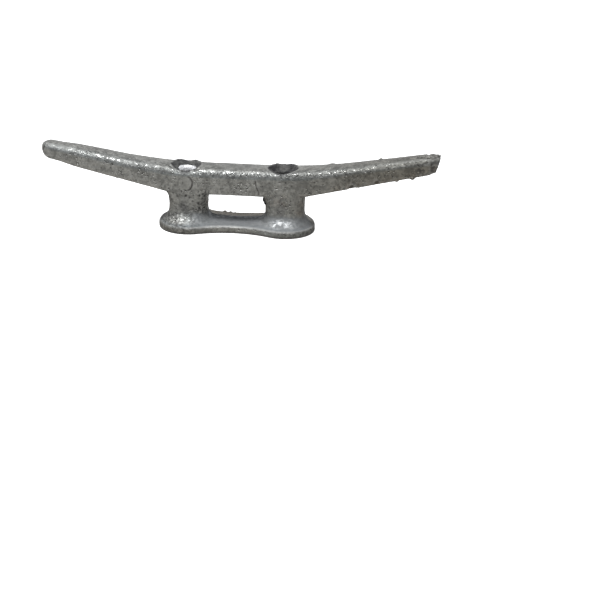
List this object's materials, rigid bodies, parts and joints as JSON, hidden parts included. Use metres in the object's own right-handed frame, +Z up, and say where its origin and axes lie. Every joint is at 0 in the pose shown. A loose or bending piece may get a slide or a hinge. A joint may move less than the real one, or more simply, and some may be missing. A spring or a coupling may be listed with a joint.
{
  "type": "horn cleat",
  "caption": "Open-base horn cleat for making a rope fast, cast in a single piece with rising horns, stems either side of a rope opening, a lobed base and countersunk fastening holes.",
  "frame": {"origin": "centre of the base's flat underside, midway between the two stems. The two fastening holes lie 0.8 mm towards -X and 0.3 mm towards -Y of the stems' centres", "axes": "+X along the horns, towards the one with the pouring stub; +Z up, out of the surface that the cleat is fastened to"},
  "size_m": [0.1508, 0.0226, 0.0321],
  "materials": {
    "galvanised_iron": "hot-dip galvanised, dull and mottled, with brighter worn edges"
  },
  "bodies": {
    "root": {"cleat_casting": "galvanised_iron"}
  },
  "joints": []
}
